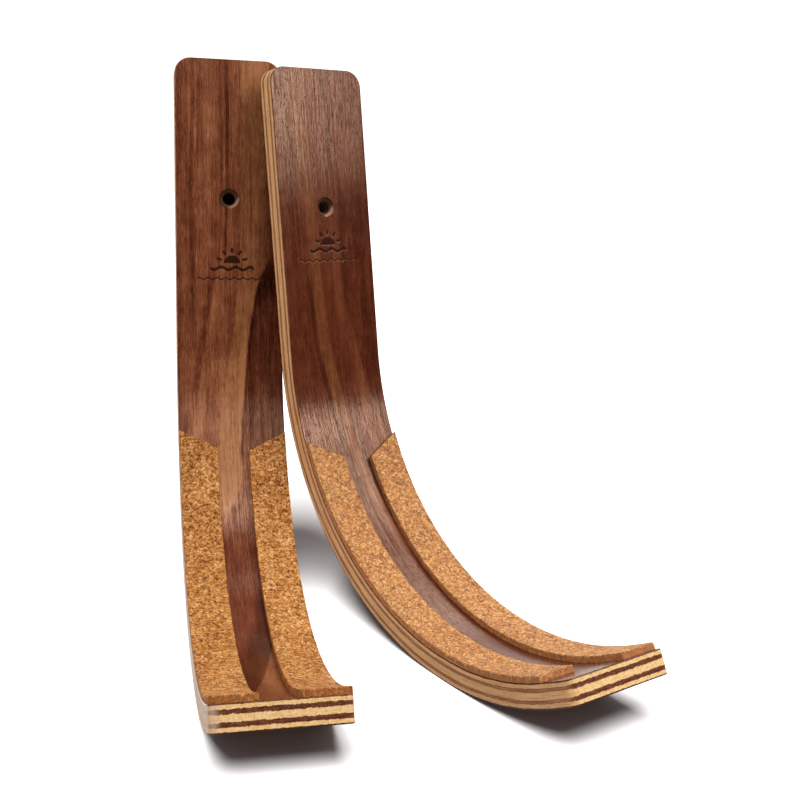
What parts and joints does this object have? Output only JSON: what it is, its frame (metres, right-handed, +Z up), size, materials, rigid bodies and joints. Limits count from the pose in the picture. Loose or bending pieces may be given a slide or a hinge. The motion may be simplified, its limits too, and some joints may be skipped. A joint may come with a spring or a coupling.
{
  "type": "paddleboard wall hook pair",
  "caption": "J-shaped wall hooks of bent walnut-faced plywood, lined with cork strips, that cradle a paddleboard along a wall.",
  "frame": {"origin": "left hook's wall point: on the flat back face of its upright, on the centreline, 108 mm below the top edge and 30 mm below the screw hole", "axes": "+Z is up and +X runs to the right along the left hook's width, as the pair is displayed; +Y goes back, into the wall. The left hook leans back 9.9 degrees about X; the right hook leans back 10.8 degrees and is turned 22.7 degrees about Z"},
  "size_m": [0.2091, 0.2786, 0.2958],
  "materials": {
    "walnut": "satin lacquered walnut veneer",
    "light_ply": "light hardwood ply, seen at its sanded edge",
    "dark_ply": "dark crossband ply, seen at its sanded edge",
    "cork": "matt fine-grain agglomerated cork"
  },
  "bodies": {
    "left_hook": {"left_face_veneer": "walnut", "left_front_ply": "light_ply", "left_front_crossband": "dark_ply", "left_core_ply": "light_ply", "left_back_crossband": "dark_ply", "left_back_ply": "light_ply", "left_back_veneer": "walnut", "left_cork_strip_left": "cork", "left_cork_strip_right": "cork"},
    "right_hook": {"right_face_veneer": "walnut", "right_front_ply": "light_ply", "right_front_crossband": "dark_ply", "right_core_ply": "light_ply", "right_back_crossband": "dark_ply", "right_back_ply": "light_ply", "right_back_veneer": "walnut", "right_cork_strip_left": "cork", "right_cork_strip_right": "cork"}
  },
  "joints": [
    {"name": "hook_spacing", "type": "slide", "parent": "left_hook", "child": "right_hook", "axis": [1, 0, 0], "range_m": [0, 0.6]}
  ]
}
